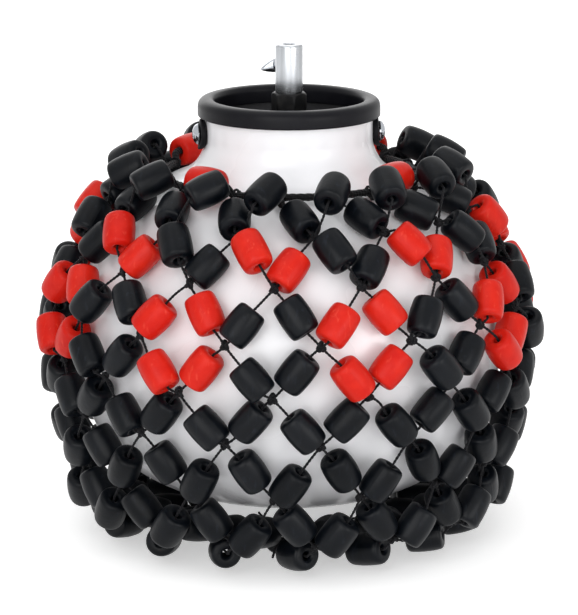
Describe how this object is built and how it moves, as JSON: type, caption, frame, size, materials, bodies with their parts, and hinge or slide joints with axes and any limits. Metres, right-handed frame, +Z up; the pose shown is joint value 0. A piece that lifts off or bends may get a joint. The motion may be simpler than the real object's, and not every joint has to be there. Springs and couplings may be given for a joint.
{
  "type": "hi-hat rod beaded gourd shaker",
  "caption": "Round gourd rattle in a net of strung beads, with a bored clamp tube and wing screw in its neck that holds it on the pull rod of a hi-hat stand.",
  "frame": {"origin": "on the axis of the clamped rod, at the level where the gourd's shoulder and belly meet, which is close to its widest level", "axes": "+Z up along the rod, from the gourd's floor to its neck; -Y to the front; +X to the right seen from the front"},
  "size_m": [0.277, 0.277, 0.2609],
  "materials": {
    "gourd": "moulded white shell with a high gloss",
    "black_rubber": "smooth black rubber",
    "plated_steel": "zinc plated",
    "chrome": "bright chrome plating",
    "black_metal": "black oxide, slightly shiny",
    "cord": "twisted black cord",
    "red_bead": "satin red",
    "black_bead": "satin black; the red beads woven into these strands are shown in the looks only"
  },
  "bodies": {
    "shell": {"gourd_shell": "gourd", "rim_band": "black_rubber", "bottom_grommet": "black_rubber", "neck_bracket": "black_metal", "clamp_tube": "chrome", "hub_nut": "black_metal", "hub_washer": "black_metal", "lock_washer": "plated_steel", "lock_nut": "plated_steel", "left_side_washer": "black_rubber", "left_side_bolt": "chrome", "left_inner_washer": "plated_steel", "left_bolt_nut": "plated_steel", "right_side_washer": "black_rubber", "right_side_bolt": "chrome", "right_inner_washer": "plated_steel", "right_bolt_nut": "plated_steel"},
    "net": {"neck_ring": "cord", "bottom_ring": "cord", "ring_bead_1": "red_bead", "ring_bead_2": "red_bead", "ring_bead_3": "red_bead", "ring_bead_4": "red_bead", "bead_strand_01": "black_bead", "bead_strand_02": "black_bead", "bead_strand_03": "black_bead", "bead_strand_04": "black_bead", "bead_strand_05": "black_bead", "bead_strand_06": "black_bead", "bead_strand_07": "black_bead", "bead_strand_08": "black_bead", "bead_strand_09": "black_bead", "bead_strand_10": "black_bead", "bead_strand_11": "black_bead", "bead_strand_12": "black_bead", "bead_strand_13": "black_bead", "bead_strand_14": "black_bead", "bead_strand_15": "black_bead", "bead_strand_16": "black_bead"},
    "wing_screw": {"wing_screw": "chrome"}
  },
  "joints": [
    {"name": "net_spin", "type": "hinge", "parent": "shell", "child": "net", "pos_m": [0, 0, 0], "axis": [0, 0, 1], "continuous": true},
    {"name": "wing_screw_turn", "type": "hinge", "parent": "shell", "child": "wing_screw", "pos_m": [0, 0.0145, 0.1305], "axis": [0, 1, 0], "continuous": true}
  ]
}
